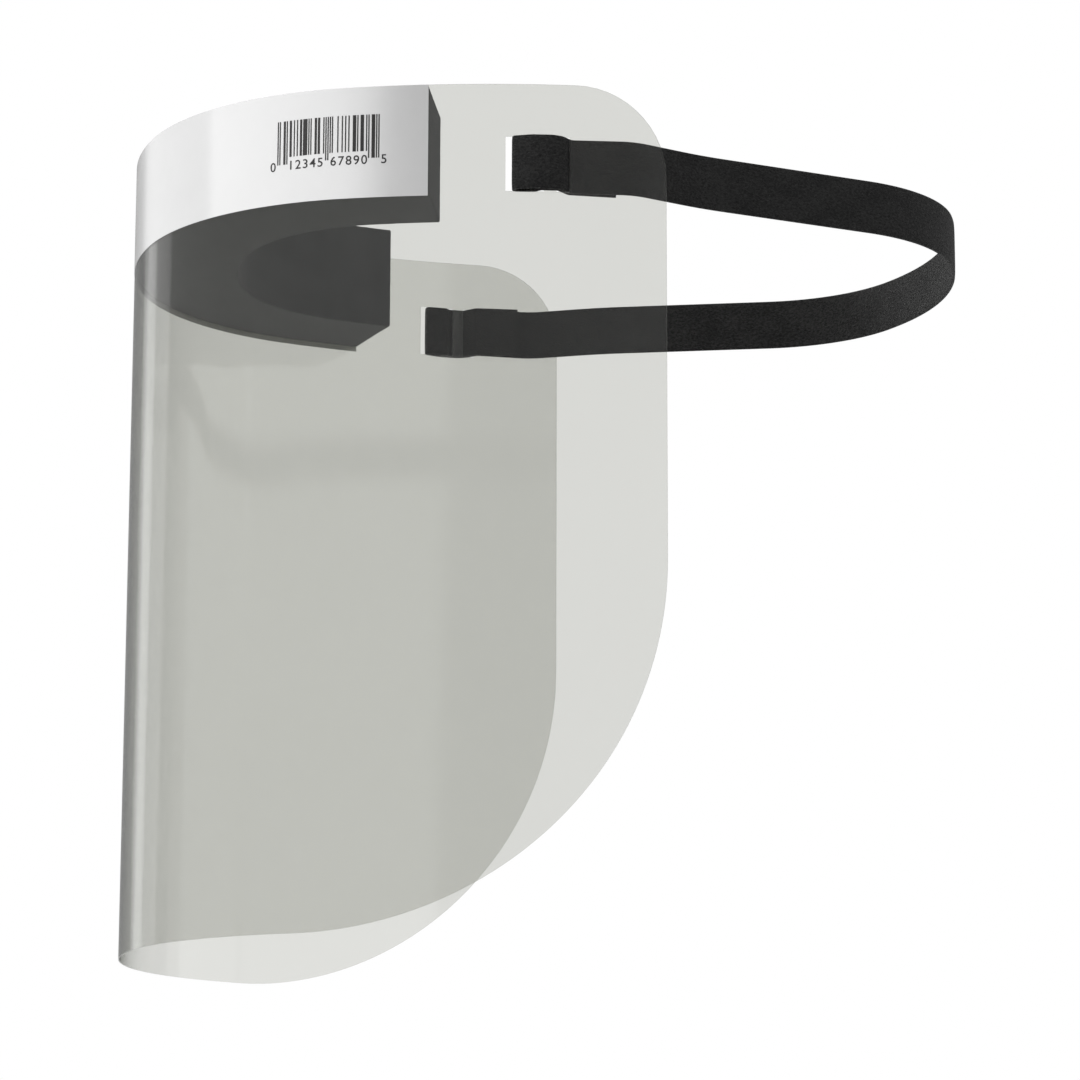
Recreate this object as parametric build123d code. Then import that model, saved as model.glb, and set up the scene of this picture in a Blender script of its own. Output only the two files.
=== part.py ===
from build123d import *
from math import copysign, cos, inf, pi, sin
import os

# Disposable full-face shield. Millimetres, +Z up, the wearer looks along -Y and +X is the wearer's left.
# The origin is where the forehead rests: the middle of the foam pad's inner face.

# Visor: one clear sheet cut flat, then bowed round the face. It stays straight up and down.
sheet_width = 380.0
sheet_height = 230.0
sheet_thickness = 0.3
top_corner_radius = 25.0
bottom_corner_radius = 100.0
# (radius, length) of the tangent arcs that the sheet's outer face follows from the front centre to each side
sheet_arcs = ((107.7, 25.6), (78.0, 77.1), (217.4, inf))

# Forehead pad, the tape that holds it, and the printed band round the brow
foam_width = 250.0
foam_height = 30.0
foam_depth = 29.5
tape_thickness = 0.2
tape_margin = 1.5
band_height = 31.3
band_thickness = 0.1

# Three slots on each side weave the end of the elastic strap
slot_width = 3.6
slot_pitch = 6.9
first_slot = 147.8
strap_width = 15.0
slot_play = 0.4
strap_thickness = 1.1
strap_drop = 15.0

# Moving joints of the strap: it tilts behind the slots, and its rear stretches backwards
tilt_at = 103.3
tilt_play = 0.3
rear_starts = 135.0
rear_gap = 0.2

top = foam_height / 2
bottom = top - sheet_height
foam_inset = sheet_thickness + tape_thickness
front = -(foam_inset + foam_depth)
half_sheet = sheet_width / 2
strap_top = top - strap_drop
strap_middle = strap_top - strap_width / 2
clear_of_all = 400.0


def on_sheet(along, inset=0.0):
    """The plan point at a distance along the sheet from its front centre, inset towards the wearer."""
    x, y, heading, left = 0.0, front, 0.0, abs(along)
    for radius, length in sheet_arcs:
        step = min(left, length)
        turned = heading + step / radius
        x += radius * (sin(turned) - sin(heading))
        y += radius * (cos(heading) - cos(turned))
        heading = turned
        left -= step
    x -= inset * sin(heading)
    y += inset * cos(heading)
    return Vector(copysign(x, along), y)


def along_sheet(half_width, inset):
    """The plan curve at a constant inset, from one side of the sheet to the other."""
    knots = [0.0]
    for _, length in sheet_arcs:
        if knots[-1] < half_width:
            knots.append(min(knots[-1] + length, half_width))
    stations = [-s for s in reversed(knots[1:])] + knots[1:]
    return [
        ThreePointArc(on_sheet(a, inset), on_sheet((a + b) / 2, inset), on_sheet(b, inset))
        for a, b in zip(stations, stations[1:])
    ]


def bowed_plate(half_width, outer_inset, inner_inset, low, high):
    """A plate of constant thickness that follows the sheet's bow."""
    outer = along_sheet(half_width, outer_inset)
    inner = along_sheet(half_width, inner_inset)
    ends = [
        Line(on_sheet(side * half_width, outer_inset), on_sheet(side * half_width, inner_inset))
        for side in (-1, 1)
    ]
    plan = make_face(outer + inner + ends)
    return Pos(0, 0, low) * extrude(plan, high - low, dir=(0, 0, 1))


def corner_waste(radius, level, side):
    """What a rounded corner of the flat sheet loses, as a bar along X. side is 1 above and -1 below."""
    steps = 8
    turns = [pi / 2 * i / steps for i in range(steps + 1)]
    edge = [
        (on_sheet(half_sheet - radius + radius * sin(t)).Y, level - side * radius * (1 - cos(t)))
        for t in turns
    ]
    (y0, z0), (y1, z1) = edge[0], edge[-1]
    y_out = y1 + radius
    z_out = level + side * radius
    outline = [
        Spline(*edge),
        Polyline((y1, z1), (y_out, z1), (y_out, z_out), (y0, z_out), (y0, z0)),
    ]
    return extrude(Plane.YZ * make_face(outline), clear_of_all, both=True)


def slot_cut(number):
    """One strap slot, cut through both sides of the sheet at once."""
    y = on_sheet(first_slot + number * slot_pitch).Y
    return Pos(0, y, strap_middle) * Box(clear_of_all, slot_width, strap_width + slot_play)


def build_visor():
    sheet = bowed_plate(half_sheet, 0, sheet_thickness, bottom, top)
    sheet -= corner_waste(top_corner_radius, top, 1)
    sheet -= corner_waste(bottom_corner_radius, bottom, -1)
    for number in range(3):
        sheet -= slot_cut(number)
    return sheet


def build_strap():
    """The whole elastic strap as it is threaded, from one free end round the head to the other."""
    web_edge = first_slot + slot_width / 2
    second_slot = first_slot + slot_pitch
    third_slot = first_slot + 2 * slot_pitch
    # (distance along the sheet, inset, bend radius) from the free end forwards, then back to the rear slot
    woven = [
        (third_slot + 15.1, 4.3, 0.0),
        (third_slot + 1.93, 3.4, 1.2),
        (third_slot - 1.47, -0.65, 0.8),
        (second_slot + 0.8, -0.65, 0.8),
        (second_slot - 0.8, 0.95, 0.8),
        (web_edge - 1.35, 0.95, 0.75),
        (web_edge - 1.35, -1.15, 0.7),
        (web_edge + 3.4, -2.5, 6.0),
        (third_slot - 2.9, -2.5, 5.0),
        (third_slot - 0.5, -1.4, 2.0),
        (third_slot + 2.44, 2.1, 1.2),
    ]
    # (x, y, bend radius) from behind the slots to the middle of the back of the head
    loop = [(92.0, 99.5, 15.0), (82.2, 120.5, 100.0), (59.4, 193.6, 50.0)]
    threaded = [(on_sheet(s, inset), bend) for s, inset, bend in woven]
    half = [(point.X, point.Y, bend) for point, bend in threaded] + loop
    other_half = [(-x, y, bend) for x, y, bend in reversed(half)]
    corners = half + [(0.0, 217.1, 100.0)] + other_half
    bends = [bend for _, _, bend in corners[1:-1]]
    route = FilletPolyline(*[(x, y, strap_middle) for x, y, _ in corners], radius=bends)
    section = Plane(origin=route @ 0, x_dir=(0, 0, 1), z_dir=route % 0)
    print("strap length", round(route.length, 1))
    return sweep(section * Rectangle(strap_width, strap_thickness), path=route)


def y_range(low, high):
    """Everything between two distances behind the forehead."""
    return Pos(0, (low + high) / 2, 0) * Box(clear_of_all, high - low, clear_of_all)


def knuckle(radius):
    """The round end, as wide as the strap, on which the strap turns behind the slots."""
    return Pos(0, tilt_at, strap_middle) * Rot(0, 90, 0) * Cylinder(radius, clear_of_all)


def sides(shape):
    """The two matching solids of a shape, by the side of the head they lie on."""
    return {"left": shape.solids().sort_by(Axis.X)[-1], "right": shape.solids().sort_by(Axis.X)[0]}


strap = build_strap()
knuckle_radius = strap_width / 2
woven_ends = (strap & y_range(-clear_of_all, tilt_at)) - knuckle(knuckle_radius + tilt_play)
strap_sides = strap & (y_range(tilt_at, rear_starts) + knuckle(knuckle_radius))
strap_rear = strap & y_range(rear_starts + rear_gap, clear_of_all)

parts = {
    "visor_sheet": build_visor(),
    "brow_band": bowed_plate(foam_width / 2, -band_thickness, 0, top - band_height, top),
    "foam_tape": bowed_plate(
        foam_width / 2 - tape_margin,
        sheet_thickness,
        foam_inset,
        tape_margin - top,
        top - tape_margin,
    ),
    "foam_pad": bowed_plate(foam_width / 2, foam_inset, foam_inset + foam_depth, -top, top),
    "strap_back": strap_rear,
}
for side in ("left", "right"):
    parts["strap_end_" + side] = sides(woven_ends)[side]
    parts["strap_side_" + side] = sides(strap_sides)[side]

os.makedirs("parts", exist_ok=True)
for node, shape in parts.items():
    export_step(shape, f"parts/{node}.step")
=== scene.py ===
from bisect import bisect_left
from math import acos, ceil, copysign, cos, inf, pi, radians, sin, tan

import bmesh
import bpy
from mathutils import Matrix, Quaternion, Vector, noise


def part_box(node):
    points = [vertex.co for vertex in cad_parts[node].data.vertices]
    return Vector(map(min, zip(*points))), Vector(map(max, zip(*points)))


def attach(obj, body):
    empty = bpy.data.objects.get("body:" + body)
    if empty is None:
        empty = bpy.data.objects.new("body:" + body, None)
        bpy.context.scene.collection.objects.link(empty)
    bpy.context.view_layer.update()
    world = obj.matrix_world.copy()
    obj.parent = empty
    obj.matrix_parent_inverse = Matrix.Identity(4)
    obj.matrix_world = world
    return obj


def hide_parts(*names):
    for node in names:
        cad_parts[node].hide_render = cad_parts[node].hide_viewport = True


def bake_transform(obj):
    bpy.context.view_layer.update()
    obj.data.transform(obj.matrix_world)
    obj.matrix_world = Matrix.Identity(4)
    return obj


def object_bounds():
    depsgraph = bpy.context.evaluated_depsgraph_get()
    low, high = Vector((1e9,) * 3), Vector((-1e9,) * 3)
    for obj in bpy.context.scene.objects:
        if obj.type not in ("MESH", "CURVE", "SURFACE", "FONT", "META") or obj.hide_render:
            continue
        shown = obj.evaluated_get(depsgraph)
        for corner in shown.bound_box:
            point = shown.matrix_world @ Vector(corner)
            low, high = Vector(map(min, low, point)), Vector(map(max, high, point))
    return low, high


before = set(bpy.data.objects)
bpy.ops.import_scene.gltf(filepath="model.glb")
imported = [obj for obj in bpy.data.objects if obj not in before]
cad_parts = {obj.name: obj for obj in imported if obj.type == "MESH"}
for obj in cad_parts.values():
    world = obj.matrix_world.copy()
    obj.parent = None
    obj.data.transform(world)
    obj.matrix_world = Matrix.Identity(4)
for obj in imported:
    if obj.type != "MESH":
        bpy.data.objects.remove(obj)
cad_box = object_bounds()
bpy.ops.object.select_all(action="DESELECT")


# ---- Visor sheet ---------------------------------------------------------------------------
# One clear polyester sheet, die cut flat, with round corners and three strap slots on each side.
# The pad and the strap keep it bowed round the face, so it is curved only one way and stays
# straight from top to bottom. Its cut edges are a little duller and denser than its faces.
sheet_low, sheet_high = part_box("visor_sheet")
sheet_width = 0.380
sheet_thickness = 0.0003
sheet_corners = {"top": 0.025, "bottom": 0.100}
sheet_arcs = ((0.1077, 0.0256), (0.0780, 0.0771), (0.2174, inf))
corner_step = 0.002
slot_width = 0.0036
slot_height = 0.0154
slot_pitch = 0.0069
first_slot = 0.1478
slot_places = [first_slot + slot_pitch * number for number in range(3)]
strap_height = -0.0075
bow_step = 0.002
same_place = 0.000001

plastic_index = 1.50
slant_power = 7.0
plastic_face_on = (0.854, 0.856, 0.839)
plastic_edge_on = (0.67, 0.68, 0.65)
cut_face_on = (0.72, 0.73, 0.70)
cut_edge_on = (0.50, 0.52, 0.49)
plastic_veil = (0.80, 0.81, 0.80, 1)


def bowed_point(along, inset):
    """The plan point at a distance along the sheet from its front centre, inset towards the wearer."""
    x, y, heading, left = 0.0, sheet_low.y, 0.0, abs(along)
    for radius, length in sheet_arcs:
        step = min(left, length)
        turned = heading + step / radius
        x += radius * (sin(turned) - sin(heading))
        y += radius * (cos(heading) - cos(turned))
        heading = turned
        left -= step
    return copysign(x - inset * sin(heading), along), y + inset * cos(heading)


def flat_plate(name, width, low, high, depth):
    """An upright plate with no thickness yet, facing forwards, at a depth behind the sheet's face."""
    middle = (low + high) / 2
    bpy.ops.mesh.primitive_plane_add(size=1, location=(0, depth, middle), rotation=(pi / 2, 0, 0))
    plate = bpy.context.object
    plate.name = name
    plate.scale = (width, high - low, 1)
    bpy.ops.object.transform_apply()
    return plate


def pick(kind, test):
    """Selects the vertices, edges or faces of the mesh being edited whose middle passes the test."""
    bpy.ops.mesh.select_mode(type=kind)
    bpy.ops.mesh.select_all(action="DESELECT")
    mesh = bmesh.from_edit_mesh(bpy.context.object.data)
    for part in {"VERT": mesh.verts, "EDGE": mesh.edges, "FACE": mesh.faces}[kind]:
        corners = [part] if kind == "VERT" else part.verts
        middle = sum((corner.co for corner in corners), Vector()) / len(corners)
        part.select_set(test(middle))
    mesh.select_flush_mode()
    bmesh.update_edit_mesh(bpy.context.object.data)


def cut_across(places, normal=(1, 0, 0)):
    """Cuts the mesh being edited at each place along an axis, so that it can follow a bend."""
    for place in places:
        bpy.ops.mesh.select_all(action="SELECT")
        bpy.ops.mesh.bisect(plane_co=Vector(normal) * place, plane_no=normal)


def every(step, half_length):
    """Places a step apart over a length, from its middle out, without its ends."""
    count = ceil(half_length / step) - 1
    return [step * number for number in range(-count, count + 1)]


def apply_modifier(piece, kind, **settings):
    """Adds a modifier to a piece and applies it."""
    bpy.context.view_layer.objects.active = piece
    modifier = piece.modifiers.new(kind.title(), kind)
    for name, value in settings.items():
        setattr(modifier, name, value)
    bpy.ops.object.modifier_apply(modifier=modifier.name)


def bow_round(piece):
    """Bends a flat piece round the face. Until then its y is its depth behind the sheet's face."""
    for vertex in piece.data.vertices:
        vertex.co.x, vertex.co.y = bowed_point(vertex.co.x, vertex.co.y)
    piece.data.update()


def finish_piece(piece, smooth_below=30):
    """Smooths the shading of gentle bends and leaves the piece deselected."""
    bpy.ops.object.select_all(action="DESELECT")
    piece.select_set(True)
    bpy.context.view_layer.objects.active = piece
    bpy.ops.object.shade_smooth_by_angle(angle=radians(smooth_below))
    bpy.ops.object.select_all(action="DESELECT")


def new_material(name):
    """An empty node material and its node tree."""
    material = bpy.data.materials.new(name)
    material.use_nodes = True
    material.node_tree.nodes.clear()
    return material, material.node_tree


def add(tree, kind, inputs, **settings):
    """A node with its settings, and its inputs either linked or given a value."""
    made = tree.nodes.new("ShaderNode" + kind)
    for name, value in settings.items():
        setattr(made, name, value)
    for name, value in inputs.items():
        if isinstance(value, bpy.types.NodeSocket):
            tree.links.new(value, made.inputs[name])
        else:
            made.inputs[name].default_value = value
    return made


def steps_of(tree, factor, low, high, start=0.0, end=1.0):
    """A value that goes from low to high while the factor goes from start to end."""
    inputs = {"Value": factor, "From Min": start, "From Max": end, "To Min": low, "To Max": high}
    return add(tree, "MapRange", inputs).outputs["Result"]


def tint_of(tree, factor, first, second):
    """A colour between two, by a factor."""
    mix = add(tree, "MixRGB", {"Fac": factor, "Color1": (*first, 1), "Color2": (*second, 1)})
    return mix.outputs[0]


def end_with(tree, shader):
    """Sends a shader to the material's output."""
    add(tree, "OutputMaterial", {"Surface": shader.outputs[0]})


def clear_plastic(name, face_on, edge_on, haze, roughness):
    """Clear sheet: each face passes a share of light, less where it is seen at a slant."""
    material, tree = new_material(name)
    place = add(tree, "TexCoord", {}).outputs["Object"]
    smudge = add(tree, "TexNoise", {"Vector": place, "Scale": 22.0, "Detail": 4.0}).outputs["Fac"]
    scuff_place = add(tree, "Mapping", {"Vector": place, "Scale": (900.0, 900.0, 60.0)})
    scuff = add(tree, "TexNoise", {"Vector": scuff_place.outputs[0], "Scale": 1.0, "Detail": 2.0})
    behind = add(tree, "NewGeometry", {}).outputs["Backfacing"]
    index = steps_of(tree, behind, plastic_index, 1 / plastic_index)
    mirror = add(tree, "Fresnel", {"IOR": index}).outputs[0]
    slant = add(tree, "LayerWeight", {"Blend": 0.5}).outputs["Facing"]
    steep = add(tree, "Math", {0: slant, 1: slant_power}, operation="POWER").outputs[0]
    through = add(tree, "BsdfTransparent", {"Color": tint_of(tree, steep, face_on, edge_on)})
    veil = add(tree, "BsdfDiffuse", {"Color": plastic_veil})
    hazy = add(tree, "MixShader", {0: steps_of(tree, smudge, haze * 0.6, haze * 1.4, 0.3, 0.7)})
    tree.links.new(through.outputs[0], hazy.inputs[1])
    tree.links.new(veil.outputs[0], hazy.inputs[2])
    rough = steps_of(tree, scuff.outputs["Fac"], roughness * 0.6, roughness * 1.6, 0.3, 0.7)
    gloss = add(tree, "BsdfAnisotropic", {"Color": (1, 1, 1, 1), "Roughness": rough})
    shader = add(tree, "MixShader", {0: mirror})
    tree.links.new(hazy.outputs[0], shader.inputs[1])
    tree.links.new(gloss.outputs[0], shader.inputs[2])
    end_with(tree, shader)
    return material


def is_corner(place, level):
    """Whether a point is one of the flat sheet's two corners at a level."""
    return abs(place.z - level) < same_place and abs(abs(place.x) - sheet_width / 2) < same_place


def in_slot_columns(middle, slot):
    """Whether a face is above, in or below a slot, on either side of the sheet."""
    return abs(abs(middle.x) - slot) < slot_width / 2


def in_slot(middle, slot):
    """Whether a face fills a slot."""
    return in_slot_columns(middle, slot) and abs(middle.z - strap_height) < slot_height / 2


visor_sheet = flat_plate("clear_visor", sheet_width, sheet_low.z, sheet_high.z, 0)
face_plastic = clear_plastic("clear_sheet", plastic_face_on, plastic_edge_on, haze=0.006, roughness=0.09)
edge_plastic = clear_plastic("cut_sheet_edge", cut_face_on, cut_edge_on, haze=0.20, roughness=0.35)
visor_sheet.data.materials.append(face_plastic)
visor_sheet.data.materials.append(edge_plastic)
bpy.ops.object.mode_set(mode="EDIT")
for end, radius in sheet_corners.items():
    level = sheet_high.z if end == "top" else sheet_low.z
    pick("VERT", lambda place: is_corner(place, level))
    bpy.ops.mesh.bevel(offset=radius, segments=ceil(radius / corner_step), affect="VERTICES", profile=0.5)
slot_edges = [place + side * slot_width / 2 for place in slot_places for side in (-1, 1)]
cut_across([side * edge for edge in slot_edges for side in (-1, 1)])
cut_across(every(bow_step, sheet_width / 2))
for slot in slot_places:
    for side in (1, -1):
        pick("FACE", lambda middle: in_slot_columns(middle, slot))
        height = strap_height + side * slot_height / 2
        bpy.ops.mesh.bisect(plane_co=(0, 0, height), plane_no=(0, 0, 1))
    pick("FACE", lambda middle: in_slot(middle, slot))
    bpy.ops.mesh.delete(type="FACE")
bpy.ops.object.mode_set(mode="OBJECT")
apply_modifier(visor_sheet, "SOLIDIFY", thickness=sheet_thickness, offset=-1, material_offset_rim=1)
bow_round(visor_sheet)
finish_piece(visor_sheet)
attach(visor_sheet, "visor")
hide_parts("visor_sheet")


# ---- Brow band -----------------------------------------------------------------------------
# A strip of white film stuck round the outside of the sheet's top edge, in front of the pad.
# It is opaque and glossy, and ends square where the pad ends.
band_low, band_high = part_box("brow_band")
band_length = 0.250
band_thickness = 0.00008
band_gap = 0.00002
band_face = -band_thickness - band_gap
film_whites = ((0.71, 0.71, 0.71), (0.74, 0.74, 0.74))
back_whites = ((0.90, 0.90, 0.89), (0.95, 0.95, 0.94))


def coated_white(name):
    """White film: a pale base with faint mottling under a bright clear coat."""
    material, tree = new_material(name)
    place = add(tree, "TexCoord", {}).outputs["Object"]
    mottle = add(tree, "TexNoise", {"Vector": place, "Scale": 60.0, "Detail": 5.0}).outputs["Fac"]
    grain = add(tree, "TexNoise", {"Vector": place, "Scale": 2600.0, "Detail": 2.0}).outputs["Fac"]
    colour = tint_of(tree, steps_of(tree, mottle, 0, 1, 0.35, 0.65), *film_whites)
    relief = add(tree, "Bump", {"Height": grain, "Strength": 0.05, "Distance": 0.00004})
    inputs = {
        "Base Color": colour,
        "Roughness": steps_of(tree, mottle, 0.34, 0.44, 0.3, 0.7),
        "Normal": relief.outputs[0],
        "Coat Weight": 1.0,
        "Coat Roughness": 0.19,
        "Coat IOR": 2.6,
    }
    end_with(tree, add(tree, "BsdfPrincipled", inputs))
    return material


def film_back(name):
    """The uncoated back of the film, with its clear adhesive."""
    material, tree = new_material(name)
    place = add(tree, "TexCoord", {}).outputs["Object"]
    glue = add(tree, "TexNoise", {"Vector": place, "Scale": 300.0, "Detail": 4.0}).outputs["Fac"]
    inputs = {
        "Base Color": tint_of(tree, glue, *back_whites),
        "Roughness": steps_of(tree, glue, 0.5, 0.7, 0.3, 0.7),
    }
    end_with(tree, add(tree, "BsdfPrincipled", inputs))
    return material


brow_band = flat_plate("white_brow_band", band_length, band_low.z, band_high.z, band_face)
brow_band.data.materials.append(coated_white("white_film"))
brow_band.data.materials.append(film_back("white_film_back"))
bpy.ops.object.mode_set(mode="EDIT")
cut_across(every(bow_step, band_length / 2))
bpy.ops.object.mode_set(mode="OBJECT")
apply_modifier(brow_band, "SOLIDIFY", thickness=band_thickness, offset=-1, material_offset=1)
bow_round(brow_band)
finish_piece(brow_band)
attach(brow_band, "visor")
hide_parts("brow_band")


# ---- Printed stock code ----------------------------------------------------------------------
# Black ink on the band by the wearer's left temple: a bar code with its digits below it.
# The bars and digits are the usual placeholder ones and stand for no product.
guard_modules = 3
middle_modules = 5
digit_modules = 7
code_digits = "012345678905"
half_digits = len(code_digits) // 2
module_count = 2 * guard_modules + middle_modules + len(code_digits) * digit_modules
code_start = 0.08235
code_length = 0.0293
code_module = code_length / module_count
code_top = 0.0071
bar_bottom = -0.0032
guard_bottom = -0.0052
digit_size = 0.0036
digit_height = -0.0068
digit_gap = 0.0013
digit_boldness = 0.00003
ink_thickness = 0.00002
ink_spread = 0.00005
ink_face = band_face - 2 * ink_thickness
ink_blacks = ((0.012, 0.011, 0.011), (0.030, 0.028, 0.028))
# the seven modules of each digit from 0 to 9, as the left half of the code has them
bar_codes = "0001101 0011001 0010011 0111101 0100011 0110001 0101111 0111011 0110111 0001011".split()


def code_modules():
    """(is it dark, is it a tall guard bar) for each module of the code, from left to right."""
    left = "".join(bar_codes[int(digit)] for digit in code_digits[:half_digits])
    right = "".join(bar_codes[int(digit)] for digit in code_digits[half_digits:])
    flipped = right.translate(str.maketrans("01", "10"))
    modules = "101" + left + "01010" + flipped + "101"
    tall_end = guard_modules + digit_modules
    middle_start = guard_modules + half_digits * digit_modules
    tall_places = {
        *range(tall_end),
        *range(middle_start, middle_start + middle_modules),
        *range(module_count - tall_end, module_count),
    }
    return [(module == "1", number in tall_places) for number, module in enumerate(modules)]


def bars():
    """(first module, module count, is it tall) for each bar."""
    found = []
    for number, (dark, tall) in enumerate(code_modules()):
        if dark and found and found[-1][0] + found[-1][1] == number:
            found[-1][1] += 1
        elif dark:
            found.append([number, 1, tall])
    return found


def printed_digit(digit, centre):
    """One digit as a flat mesh, upright on the sheet and facing out."""
    bpy.ops.object.text_add(rotation=(pi / 2, 0, 0))
    text = bpy.context.object
    text.data.body = digit
    text.data.size = digit_size
    text.data.offset = digit_boldness
    text.data.align_x = "CENTER"
    bpy.ops.object.convert(target="MESH")
    text = bpy.context.object
    text.location = (centre, ink_face, digit_height)
    bpy.ops.object.transform_apply()
    return text


def digit_middle(number):
    """Where one of the code's digits stands along the sheet, under its own modules."""
    modules = guard_modules + (number + 0.5) * digit_modules
    if number >= half_digits:
        modules += middle_modules
    return code_start + modules * code_module


prints = []
for first, count, tall in bars():
    low = guard_bottom if tall else bar_bottom
    bar = flat_plate("bar", count * code_module + ink_spread, low, code_top, ink_face)
    middle = code_start + (first + count / 2) * code_module
    bar.data.transform(Matrix.Translation((middle, 0, 0)))
    prints.append(bar)
digit_places = [digit_middle(number) for number in range(len(code_digits))]
# the first and last digits stand outside the bars
digit_places[0] = code_start - digit_gap
digit_places[-1] = code_start + code_length + digit_gap
for digit, centre in zip(code_digits, digit_places):
    prints.append(printed_digit(digit, centre))
bpy.ops.object.select_all(action="DESELECT")
for part in prints:
    part.select_set(True)
stock_code = prints[0]
bpy.context.view_layer.objects.active = stock_code
bpy.ops.object.join()
stock_code.name = "stock_code_print"
apply_modifier(stock_code, "SOLIDIFY", thickness=ink_thickness, offset=-1)
bow_round(stock_code)

ink, tree = new_material("black_ink")
place = add(tree, "TexCoord", {}).outputs["Object"]
speckle = add(tree, "TexNoise", {"Vector": place, "Scale": 3000.0, "Detail": 2.0}).outputs["Fac"]
inputs = {
    "Base Color": tint_of(tree, steps_of(tree, speckle, 0, 1, 0.4, 0.7), *ink_blacks),
    "Roughness": steps_of(tree, speckle, 0.4, 0.6),
}
end_with(tree, add(tree, "BsdfPrincipled", inputs))
stock_code.data.materials.clear()
stock_code.data.materials.append(ink)
finish_piece(stock_code)
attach(stock_code, "visor")


# ---- Foam pad ------------------------------------------------------------------------------
# A straight bar of fine dark grey foam, cut square and bent round inside the sheet's top edge.
# Bending squeezes its inner side, which swells a little above and below. It is taped on.
pad_low, pad_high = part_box("foam_pad")
pad_length = 0.250
pad_near = 0.0005
pad_depth = 0.0295
pad_edge = 0.0005
pad_step = 0.0015
pad_swell = 0.0003
pad_roughness = 0.00005
pad_waves = 400
pad_merge = 0.00002
foam_greys = ((0.078, 0.078, 0.080), (0.101, 0.101, 0.103))


def fine_foam(name):
    """Dark closed-cell foam: cut cells under half a millimetre wide, with paler cell walls."""
    material, tree = new_material(name)
    place = add(tree, "TexCoord", {}).outputs["Object"]
    cells = add(tree, "TexNoise", {"Vector": place, "Scale": 1500.0, "Detail": 3.0}).outputs["Fac"]
    clumps = add(tree, "TexNoise", {"Vector": place, "Scale": 120.0, "Detail": 6.0}).outputs["Fac"]
    shade = add(tree, "Math", {0: cells, 1: clumps}, operation="MULTIPLY").outputs[0]
    relief = add(tree, "Bump", {"Height": cells, "Strength": 0.25, "Distance": 0.0001})
    inputs = {
        "Base Color": tint_of(tree, steps_of(tree, shade, 0, 1, 0.15, 0.35), *foam_greys),
        "Roughness": steps_of(tree, clumps, 0.85, 1.0, 0.3, 0.7),
        "Normal": relief.outputs[0],
        "Specular IOR Level": 0.25,
        "Sheen Weight": 0.10,
        "Sheen Roughness": 0.6,
    }
    end_with(tree, add(tree, "BsdfPrincipled", inputs))
    return material


bpy.ops.mesh.primitive_cube_add(size=1, location=(0, pad_near + pad_depth / 2, 0))
foam_pad = bpy.context.object
foam_pad.name = "foam_forehead_pad"
foam_pad.scale = (pad_length, pad_depth, pad_high.z - pad_low.z)
bpy.ops.object.transform_apply()
foam_pad.data.materials.append(fine_foam("grey_foam"))
apply_modifier(foam_pad, "BEVEL", width=pad_edge, segments=3, limit_method="ANGLE")
bpy.ops.object.mode_set(mode="EDIT")
cut_across(every(pad_step, pad_length / 2))
cut_across([pad_near + pad_depth / 2 + place for place in every(pad_step, pad_depth / 2)], (0, 1, 0))
cut_across(every(pad_step, pad_high.z), (0, 0, 1))
bpy.ops.mesh.select_all(action="SELECT")
bpy.ops.mesh.remove_doubles(threshold=pad_merge)
bpy.ops.object.mode_set(mode="OBJECT")
pad_normals = [normal.vector.copy() for normal in foam_pad.data.vertex_normals]
for vertex, normal in zip(foam_pad.data.vertices, pad_normals):
    inwards = (vertex.co.y - pad_near) / pad_depth
    upwards = min(1, abs(vertex.co.z) / pad_high.z)
    vertex.co.z += copysign(pad_swell * inwards ** 2, vertex.co.z) * upwards
    vertex.co += normal * pad_roughness * noise.noise(vertex.co * pad_waves)
bow_round(foam_pad)
finish_piece(foam_pad)
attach(foam_pad, "visor")
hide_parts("foam_pad")


# ---- Foam tape -----------------------------------------------------------------------------
# Double-sided tape that holds the pad to the inside of the sheet. Only its thin edge can be seen.
tape_whites = ((0.62, 0.61, 0.57), (0.74, 0.73, 0.70))
foam_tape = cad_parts["foam_tape"]
tape_film, tree = new_material("double_sided_tape")
place = add(tree, "TexCoord", {}).outputs["Object"]
fibre = add(tree, "TexNoise", {"Vector": place, "Scale": 700.0, "Detail": 4.0}).outputs["Fac"]
inputs = {
    "Base Color": tint_of(tree, fibre, *tape_whites),
    "Roughness": steps_of(tree, fibre, 0.35, 0.6),
    "Normal": add(tree, "Bump", {"Height": fibre, "Strength": 0.2, "Distance": 0.00005}).outputs[0],
}
end_with(tree, add(tree, "BsdfPrincipled", inputs))
foam_tape.data.materials.clear()
foam_tape.data.materials.append(tape_film)


# ---- Head strap ----------------------------------------------------------------------------
# One flat band of black woven elastic, made here in three lengths that meet end to end. Each end
# goes out through the rear slot, in through the middle one, out again through the front one, and
# back over itself and in through the rear slot, where its own tension holds it.
strap_width = 0.015
strap_thickness = 0.0011
strap_step = 0.00055
strap_bend_step = radians(9)
strap_rows = 24
strap_selvedge = 0.00022
edge_thinning = 0.18
join_behind_head = 0.130
same_distance = 0.0000001
grain_height = 0.00006
rear_slot = slot_places[2]
middle_slot = slot_places[1]
front_web = slot_places[0] + slot_width / 2

# distance along the sheet, inset and bend radius, from the free end to where it leaves the slots
woven = [
    (rear_slot + 0.0151, 0.0043, 0.0),
    (rear_slot + 0.00193, 0.0034, 0.0012),
    (rear_slot - 0.00147, -0.00065, 0.0008),
    (middle_slot + 0.0008, -0.00065, 0.0008),
    (middle_slot - 0.0008, 0.00095, 0.0008),
    (front_web - 0.00135, 0.00095, 0.00075),
    (front_web - 0.00135, -0.00115, 0.0007),
    (front_web + 0.0034, -0.0025, 0.0060),
    (rear_slot - 0.0029, -0.0025, 0.0050),
    (rear_slot - 0.0005, -0.0014, 0.0020),
    (rear_slot + 0.00244, 0.0021, 0.0012),
]
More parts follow.
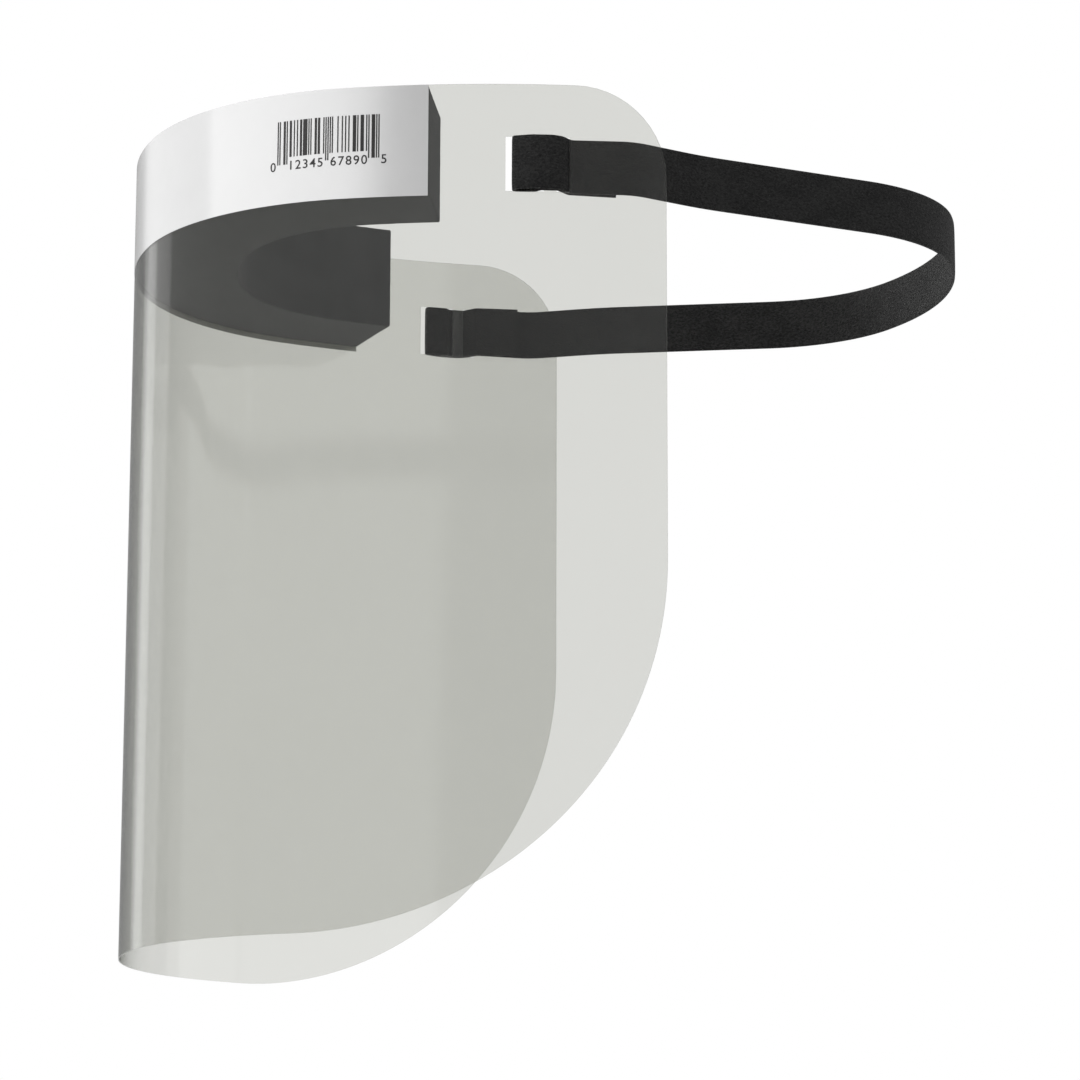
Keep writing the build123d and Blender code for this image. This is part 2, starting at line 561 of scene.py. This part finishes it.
# plan corners and bend radii round the head, as far as the back
loop = [(0.0920, 0.0995, 0.015), (0.0822, 0.1205, 0.100), (0.0594, 0.1936, 0.050)]
half = [(*bowed_point(along, inset), bend) for along, inset, bend in woven] + loop
corners = half + [(0.0, 0.2171, 0.100)] + [(-x, y, bend) for x, y, bend in reversed(half)]


def rounded_route(corners):
    """(distance, point, direction) along straight runs joined by round bends, closely spaced."""
    points = [Vector((x, y, 0)) for x, y, _ in corners]
    stations = []
    travelled, here = 0.0, points[0]
    for number in range(1, len(points)):
        run = (points[number] - points[number - 1]).normalized()
        bend, turn, trim = 0.0, 0.0, 0.0
        if number < len(points) - 1:
            after = (points[number + 1] - points[number]).normalized()
            bend = corners[number][2]
            turn = copysign(acos(max(-1.0, min(1.0, run.dot(after)))), run.cross(after).z)
            trim = bend * tan(abs(turn) / 2)
        arc_start = points[number] - run * trim
        straight = (arc_start - here).length
        steps = max(1, ceil(straight / strap_step))
        for step in range(steps):
            part = straight * step / steps
            stations.append((travelled + part, here + run * part, run))
        travelled += straight
        here = arc_start
        if not turn:
            continue
        side = Vector((-run.y, run.x, 0)) * copysign(1, turn)
        centre = here + side * bend
        steps = max(2, ceil(abs(turn) / strap_bend_step), ceil(abs(turn) * bend / strap_step))
        for step in range(steps):
            along = travelled + bend * abs(turn) * step / steps
            spin = Quaternion((0, 0, 1), turn * step / steps)
            stations.append((along, centre + spin @ (-side * bend), spin @ run))
        travelled += abs(turn) * bend
        here = centre + Quaternion((0, 0, 1), turn) @ (-side * bend)
    stations.append((travelled, here, run))
    return stations


strap_route = rounded_route(corners)
distances = [distance for distance, _, _ in strap_route]
print("strap length", round(distances[-1], 4))


def grain(along, across, side):
    """How far the elastic's crinkled face stands proud at a point on it."""
    coarse = noise.noise(Vector((along * 900, across * 1300, side * 7)))
    fine = noise.noise(Vector((along * 2100, across * 2300, side * 5 + 3)))
    return grain_height * (0.7 * coarse + 0.5 * fine)


# the elastic's own black, and a paler grey painted onto its raised ribs as a highlight
strap_black = (0.0010, 0.0010, 0.0010)
strap_highlight_grey = (0.0125, 0.0125, 0.0122)


def woven_elastic(name):
    """Matt black elastic: a fine crinkled weave, with fibres that catch a little light, and a painted
    highlight that makes its raised ribs paler in broad random patches.
    """
    material, tree = new_material(name)
    surface = add(tree, "UVMap", {}, uv_map="along_strap").outputs[0]
    ribs_place = add(tree, "Mapping", {"Vector": surface, "Scale": (1100.0, 1700.0, 1.0)}).outputs[0]
    ribs = add(tree, "TexNoise", {"Vector": ribs_place, "Scale": 1.0, "Detail": 3.0, "Distortion": 0.6})
    threads_place = add(tree, "Mapping", {"Vector": surface, "Scale": (1500.0, 5200.0, 1.0)}).outputs[0]
    threads = add(tree, "TexVoronoi", {"Vector": threads_place, "Scale": 1.0}).outputs["Distance"]
    tone_patch_place = add(tree, "Mapping", {"Vector": surface, "Scale": (90.0, 160.0, 1.0)}).outputs[0]
    tone_patches = add(tree, "TexNoise", {"Vector": tone_patch_place, "Scale": 1.0, "Detail": 4.0}).outputs["Fac"]
    height = add(tree, "Math", {0: ribs.outputs["Fac"], 1: threads}, operation="ADD").outputs[0]
    # painted highlight: the mask is high on the raised ribs and varies in broad random patches of tone
    blended = add(tree, "Math", {0: ribs.outputs["Fac"], 1: tone_patches}, operation="MULTIPLY").outputs[0]
    relief = add(tree, "Bump", {"Height": height, "Strength": 1.0, "Distance": 0.00030})
    inputs = {
        "Base Color": tint_of(tree, steps_of(tree, blended, 0, 1, 0.17, 0.34), strap_black, strap_highlight_grey),
        "Roughness": steps_of(tree, ribs.outputs["Fac"], 0.80, 0.50, 0.35, 0.65),
        "Normal": relief.outputs[0],
        "Specular IOR Level": 0.36,
        "Sheen Weight": 0.06,
        "Sheen Roughness": 0.45,
    }
    end_with(tree, add(tree, "BsdfPrincipled", inputs))
    return material


def is_long_edge(middle):
    """Whether an edge runs along one of the four corners of the strap while it is still straight."""
    return abs(middle.z) > 0.499 * strap_width and abs(middle.y) > 0.499 * strap_thickness


def strap_length_between(name, start, end):
    """A length of the strap between two distances along it, threaded along its route."""
    places = [place for place in distances if start - same_distance <= place <= end + same_distance]
    columns = len(places) - 1
    bpy.ops.mesh.primitive_grid_add(
        x_subdivisions=columns, y_subdivisions=strap_rows, size=1, rotation=(pi / 2, 0, 0)
    )
    band = bpy.context.object
    band.name = name
    band.scale = (columns, strap_width, 1)
    bpy.ops.object.transform_apply()
    for vertex in band.data.vertices:
        vertex.co.x = places[round(vertex.co.x + columns / 2)]
    apply_modifier(band, "SOLIDIFY", thickness=strap_thickness, offset=0)
    bpy.ops.object.mode_set(mode="EDIT")
    pick("EDGE", is_long_edge)
    bpy.ops.mesh.bevel(offset=strap_selvedge, segments=2)
    bpy.ops.object.mode_set(mode="OBJECT")
    layout = band.data.uv_layers[0]
    layout.name = "along_strap"
    for corner in band.data.loops:
        place = band.data.vertices[corner.vertex_index].co
        layout.data[corner.index].uv = (place.x, place.z)
    for vertex in band.data.vertices:
        along, depth, across = vertex.co
        if abs(depth) > 0.45 * strap_thickness:
            depth += copysign(grain(along, across, copysign(1, depth)), depth)
        depth *= 1 - edge_thinning * (2 * abs(across) / strap_width) ** 6
        station = min(bisect_left(distances, along - same_distance), len(strap_route) - 1)
        _, point, direction = strap_route[station]
        vertex.co = point + Vector((-direction.y, direction.x, 0)) * depth
        vertex.co += direction * (along - distances[station])
        vertex.co.z = strap_height + across
    band.data.update()
    band.data.materials.append(elastic)
    finish_piece(band, 45)
    return band


elastic = woven_elastic("black_elastic")
behind = [distance for distance, point, _ in strap_route if point.y > join_behind_head]
for side, start, end in (("left", 0, behind[0]), ("right", behind[-1], distances[-1])):
    strap_end = strap_length_between("head_strap_" + side, start, end)
    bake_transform(strap_end)
    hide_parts("strap_end_" + side, "strap_side_" + side)
strap_back = strap_length_between("head_strap_back", behind[0], behind[-1])
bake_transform(strap_back)
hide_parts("strap_back")


# ---- Studio --------------------------------------------------------------------------------
# A pale floor just under the shield's lower edge, which can be seen only from above and fades into
# a white backdrop further off, and soft lights. Enough see-through layers are allowed for the
# light that passes both sides of the clear sheet on its way in and out.
floor_level = sheet_low.z - 0.0005
floor_radius = 12
fade_from, fade_to = 0.7, 2.0
floor_greys = ((0.84, 0.84, 0.84), (0.86, 0.86, 0.86))
room_brightness = 0.30
clear_layers = 32
white = (1, 1, 1, 1)

bpy.ops.mesh.primitive_circle_add(
    vertices=128, radius=floor_radius, fill_type="NGON", location=(0, 0, floor_level)
)
floor = bpy.context.object
floor.name = "studio_floor"
bpy.ops.object.transform_apply()
pale, tree = new_material("pale_floor")
place = add(tree, "TexCoord", {}).outputs["Object"]
patches = add(tree, "TexNoise", {"Vector": place, "Scale": 3.0, "Detail": 3.0}).outputs["Fac"]
matt = add(tree, "BsdfDiffuse", {"Color": tint_of(tree, patches, *floor_greys)})
spread = add(tree, "VectorMath", {0: place}, operation="LENGTH").outputs["Value"]
far_off = steps_of(tree, spread, 0, 1, fade_from, fade_to)
seen = add(tree, "LightPath", {}).outputs["Is Camera Ray"]
fading = add(tree, "Math", {0: far_off, 1: seen}, operation="MULTIPLY").outputs[0]
blended = add(tree, "MixShader", {0: fading})
tree.links.new(matt.outputs[0], blended.inputs[1])
tree.links.new(add(tree, "Emission", {}).outputs[0], blended.inputs[2])
below = add(tree, "NewGeometry", {}).outputs["Backfacing"]
shader = add(tree, "MixShader", {0: below})
tree.links.new(blended.outputs[0], shader.inputs[1])
tree.links.new(add(tree, "BsdfTransparent", {}).outputs[0], shader.inputs[2])
end_with(tree, shader)
floor.data.materials.append(pale)
bpy.context.scene.cycles.transparent_max_bounces = clear_layers

world = bpy.data.worlds.new("white_studio")
world.use_nodes = True
bpy.context.scene.world = world
tree = world.node_tree
tree.nodes.clear()
backdrop = add(tree, "Background", {"Color": white, "Strength": 1.0})
room = add(tree, "Background", {"Color": white, "Strength": room_brightness})
seen = add(tree, "LightPath", {}).outputs["Is Camera Ray"]
shader = add(tree, "MixShader", {0: seen})
tree.links.new(room.outputs[0], shader.inputs[1])
tree.links.new(backdrop.outputs[0], shader.inputs[2])
add(tree, "OutputWorld", {"Surface": shader.outputs[0]})

shield_middle = (cad_box[0] + cad_box[1]) / 2


def softbox(name, azimuth, elevation, far, width, height, brightness, lights=(), spares=()):
    """A soft rectangular lamp turned to the shield, as bright all over. It may light only some
    pieces, or spare some. Azimuth 0 is in front of the wearer and 90 is at the wearer's left."""
    lamp = bpy.data.lights.new(name, "AREA")
    lamp.shape = "RECTANGLE"
    lamp.size = width
    lamp.size_y = height
    lamp.energy = brightness * pi * width * height
    holder = bpy.data.objects.new(name, lamp)
    bpy.context.scene.collection.objects.link(holder)
    turn, rise = radians(azimuth), radians(elevation)
    out = Vector((sin(turn) * cos(rise), -cos(turn) * cos(rise), sin(rise)))
    holder.location = shield_middle + out * far
    holder.rotation_euler = (-out).to_track_quat("-Z", "Y").to_euler()
    if lights or spares:
        receivers = bpy.data.collections.new(name + "_receivers")
        for piece in (*lights, *spares):
            receivers.objects.link(piece)
        holder.light_linking.receiver_collection = receivers
        for entry in receivers.collection_objects if spares else ():
            entry.light_linking.link_state = "EXCLUDE"


softbox("front_left_softbox", 27, 14, 1.6, 2.0, 1.4, 1.40, spares=[visor_sheet])
softbox("front_right_softbox", -34, 14, 1.6, 1.65, 1.4, 0.78, spares=[visor_sheet])
softbox("top_softbox", -20, 80, 1.8, 2.0, 2.0, 1.1)
softbox("side_strip", -53, 20, 1.6, 0.26, 1.6, 0.48, spares=[brow_band])
softbox("wide_side_strip", -48, 20, 1.6, 0.76, 1.6, 0.38, spares=[brow_band])
softbox("rear_softbox", 174.5, 12, 1.8, 1.2, 1.2, 0.50)
softbox("rear_reflector", 180, 14, 1.8, 1.5, 3.0, 0.35, lights=[visor_sheet])
softbox("wall_reflector", 133.5, 14, 1.8, 1.50, 3.0, 0.80, lights=[visor_sheet])


# ---- Camera --------------------------------------------------------------------------------
# Low on the wearer's left and looking up a little, through a long lens.
camera_data = bpy.data.cameras.new("camera")
camera_data.lens = 130.98
camera_data.sensor_width = 36
camera = bpy.data.objects.new("camera", camera_data)
bpy.context.scene.collection.objects.link(camera)
camera.location = (1.10052, -0.08498, -0.31859)
camera_target = Vector((0, 0.088461, -0.092289))
camera_roll = 0.156
level_turn = (camera_target - camera.location).to_track_quat("-Z", "Y")
camera.rotation_mode = "QUATERNION"
camera.rotation_quaternion = level_turn @ Quaternion((0, 0, 1), radians(camera_roll))
bpy.context.scene.camera = camera
bpy.context.scene.view_settings.view_transform = "Standard"
